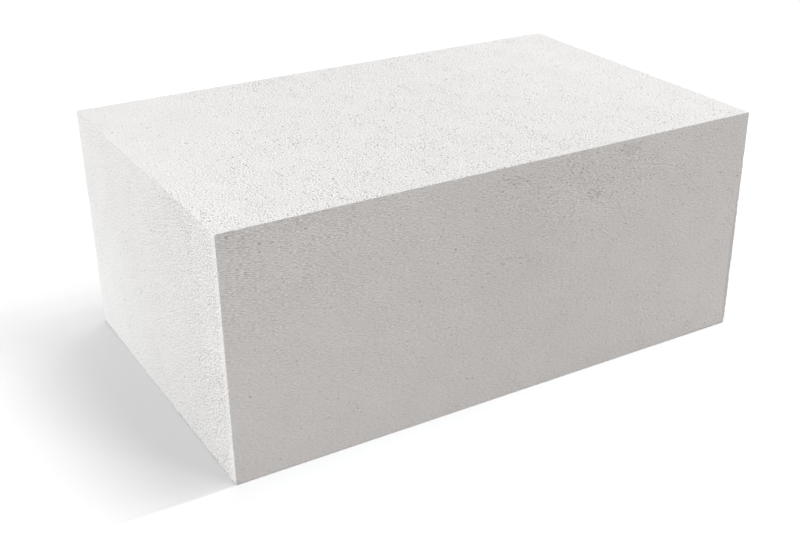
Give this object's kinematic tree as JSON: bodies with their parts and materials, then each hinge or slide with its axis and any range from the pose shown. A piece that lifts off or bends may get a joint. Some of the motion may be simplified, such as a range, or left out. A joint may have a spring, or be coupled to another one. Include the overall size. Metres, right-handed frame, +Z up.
{
  "type": "aerated concrete block",
  "caption": "Solid rectangular block of pale, finely porous aerated concrete with flat sawn faces and crisp edges, laid in thin mortar to build walls.",
  "frame": {"origin": "middle of the lower bed face, on the floor or the mortar bed that the block stands on", "axes": "+X along the wall, the block's length; +Y through the wall, its thickness; +Z up, the height of one course"},
  "size_m": [0.6, 0.375, 0.25],
  "materials": {
    "aerated_concrete": "matt, finely porous, sawn"
  },
  "bodies": {
    "root": {"block": "aerated_concrete"}
  },
  "joints": []
}
